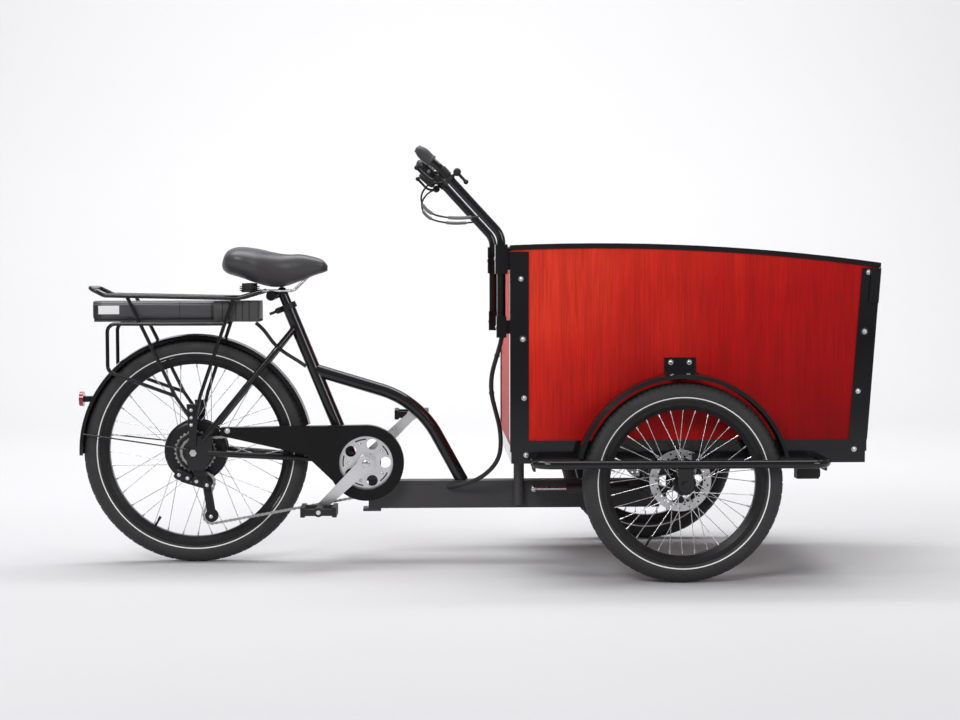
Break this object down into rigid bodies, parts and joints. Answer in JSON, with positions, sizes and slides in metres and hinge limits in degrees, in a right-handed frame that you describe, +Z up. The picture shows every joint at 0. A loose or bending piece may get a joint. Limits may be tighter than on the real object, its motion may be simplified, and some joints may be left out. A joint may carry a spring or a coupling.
{
  "type": "cargo tricycle",
  "caption": "Electric cargo tricycle: a plywood box between two front wheels steers on a kingpin ahead of a low frame with one driven rear wheel.",
  "frame": {"origin": "on the ground below the middle of the whole tricycle's box", "axes": "+X forward, +Y to the rider's left, +Z up; the chain is on the -Y side"},
  "size_m": [2.1258, 0.886, 1.1274],
  "materials": {
    "gloss_black": "gloss",
    "satin_black": "satin",
    "tyre": "matte",
    "steel": "satin",
    "alloy": "polished",
    "black_alloy": "satin",
    "plywood": "varnished",
    "resin": "matte",
    "vinyl": "satin",
    "rubber": "matte",
    "red_lens": "gloss"
  },
  "bodies": {
    "frame": {"main_beam": "satin_black", "top_tube": "gloss_black", "seat_tube": "gloss_black", "rear_triangle": "gloss_black", "rear_axle": "steel", "seat_clamp": "black_alloy", "chain_guard": "satin_black", "rear_fender": "gloss_black", "rear_reflector": "red_lens", "rear_rack": "gloss_black", "battery_dock": "resin", "rear_caliper": "black_alloy", "chain": "steel", "derailleur": "black_alloy", "damper_rod": "steel"},
    "clamp_lever": {"seat_clamp_lever": "black_alloy"},
    "rear_wheel": {"rear_tyre": "tyre", "rear_rim": "black_alloy", "rear_spokes": "steel", "rear_hub": "black_alloy"},
    "cassette": {"cassette": "steel"},
    "upper_jockey": {"jockey_upper": "resin"},
    "lower_jockey": {"jockey_lower": "resin"},
    "crankset": {"right_crank": "alloy", "left_crank": "alloy", "chainring": "alloy"},
    "right_pedal": {"right_pedal": "resin"},
    "left_pedal": {"left_pedal": "resin"},
    "seat": {"seatpost": "gloss_black", "saddle_frame": "resin", "saddle_cushion": "vinyl"},
    "battery": {"battery": "black_alloy"},
    "front_module": {"front_chassis": "gloss_black", "box_panels": "plywood", "top_trim": "gloss_black", "corner_posts": "gloss_black", "side_rails": "gloss_black", "front_fenders": "gloss_black", "front_calipers": "black_alloy", "headlamp": "resin", "handlebar_sleeves": "gloss_black", "cable_bundle": "rubber"},
    "front_left_wheel": {"front_left_tyre": "tyre", "front_left_rim": "black_alloy", "front_left_spokes": "steel", "front_left_hub": "black_alloy"},
    "front_right_wheel": {"front_right_tyre": "tyre", "front_right_rim": "black_alloy", "front_right_spokes": "steel", "front_right_hub": "black_alloy"},
    "left_bar": {"left_handlebar": "gloss_black", "left_grip": "rubber", "left_controls": "resin"},
    "left_lever": {"left_brake_lever": "black_alloy"},
    "right_bar": {"right_handlebar": "gloss_black", "right_grip": "rubber", "right_controls": "resin"},
    "right_lever": {"right_brake_lever": "black_alloy"},
    "shift_lever": {"shift_lever": "resin"},
    "damper_barrel": {"damper_barrel": "satin_black"}
  },
  "joints": [
    {"name": "steering", "type": "hinge", "parent": "frame", "child": "front_module", "pos_m": [0.497, 0, 0.296], "axis": [0, 0, 1], "range_deg": [-30, 30], "deforming": ["cable_bundle"]},
    {"name": "rear_wheel_spin", "type": "hinge", "parent": "frame", "child": "rear_wheel", "pos_m": [-0.743, 0, 0.307], "axis": [0, 1, 0], "continuous": true},
    {"name": "front_left_wheel_spin", "type": "hinge", "parent": "front_module", "child": "front_left_wheel", "pos_m": [0.542, 0.375, 0.257], "axis": [0, 1, 0], "continuous": true},
    {"name": "front_right_wheel_spin", "type": "hinge", "parent": "front_module", "child": "front_right_wheel", "pos_m": [0.542, -0.375, 0.257], "axis": [0, 1, 0], "continuous": true},
    {"name": "crank_spin", "type": "hinge", "parent": "frame", "child": "crankset", "pos_m": [-0.277, 0, 0.276], "axis": [0, 1, 0], "continuous": true},
    {"name": "cassette_spin", "type": "hinge", "parent": "frame", "child": "cassette", "pos_m": [-0.743, -0.047, 0.307], "axis": [0, 1, 0], "continuous": true},
    {"name": "upper_jockey_spin", "type": "hinge", "parent": "frame", "child": "upper_jockey", "pos_m": [-0.712, -0.047, 0.225], "axis": [0, 1, 0], "continuous": true},
    {"name": "lower_jockey_spin", "type": "hinge", "parent": "frame", "child": "lower_jockey", "pos_m": [-0.698, -0.047, 0.133], "axis": [0, 1, 0], "continuous": true},
    {"name": "right_pedal_spin", "type": "hinge", "parent": "crankset", "child": "right_pedal", "pos_m": [-0.3997, -0.096, 0.15834], "axis": [0, 1, 0], "continuous": true},
    {"name": "left_pedal_spin", "type": "hinge", "parent": "crankset", "child": "left_pedal", "pos_m": [-0.1543, 0.096, 0.39366], "axis": [0, 1, 0], "continuous": true},
    {"name": "seat_height", "type": "slide", "parent": "frame", "child": "seat", "axis": [-0.3786, 0, 0.9255], "range_m": [0, 0.15]},
    {"name": "clamp_lever_turn", "type": "hinge", "parent": "frame", "child": "clamp_lever", "pos_m": [-0.51774, -0.008, 0.68924], "axis": [0, 1, 0], "range_deg": [0, 75]},
    {"name": "battery_slide", "type": "slide", "parent": "frame", "child": "battery", "axis": [-1, 0, 0], "range_m": [0, 0.36]},
    {"name": "left_handlebar_height", "type": "slide", "parent": "front_module", "child": "left_bar", "axis": [0, 0, 1], "range_m": [0, 0.08]},
    {"name": "right_handlebar_height", "type": "slide", "parent": "front_module", "child": "right_bar", "axis": [0, 0, 1], "range_m": [0, 0.08]},
    {"name": "left_brake", "type": "hinge", "parent": "left_bar", "child": "left_lever", "pos_m": [-0.08207, 0.28, 1.03445], "axis": [0, 1, 0], "range_deg": [0, 10], "stiffness_Nm_per_rad": 1, "springref_deg": -11.46},
    {"name": "right_brake", "type": "hinge", "parent": "right_bar", "child": "right_lever", "pos_m": [-0.08207, -0.28, 1.03445], "axis": [0, 1, 0], "range_deg": [0, 10], "stiffness_Nm_per_rad": 1, "springref_deg": -11.46},
    {"name": "gear_shift", "type": "hinge", "parent": "right_bar", "child": "shift_lever", "pos_m": [-0.03179, -0.28, 1.05215], "axis": [0, 1, 0], "range_deg": [-12, 12], "stiffness_Nm_per_rad": 0.5},
    {"name": "damper_stroke", "type": "slide", "parent": "frame", "child": "damper_barrel", "axis": [1, 0, 0], "range_m": [-0.045, 0.045]}
  ],
  "couplings": [
    {"joint": "cassette_spin", "follows": "crank_spin", "ratio": 2.4444},
    {"joint": "lower_jockey_spin", "follows": "crank_spin", "ratio": 4},
    {"joint": "upper_jockey_spin", "follows": "crank_spin", "ratio": -4},
    {"joint": "damper_stroke", "follows": "steering", "m_per_rad": 0.07}
  ]
}
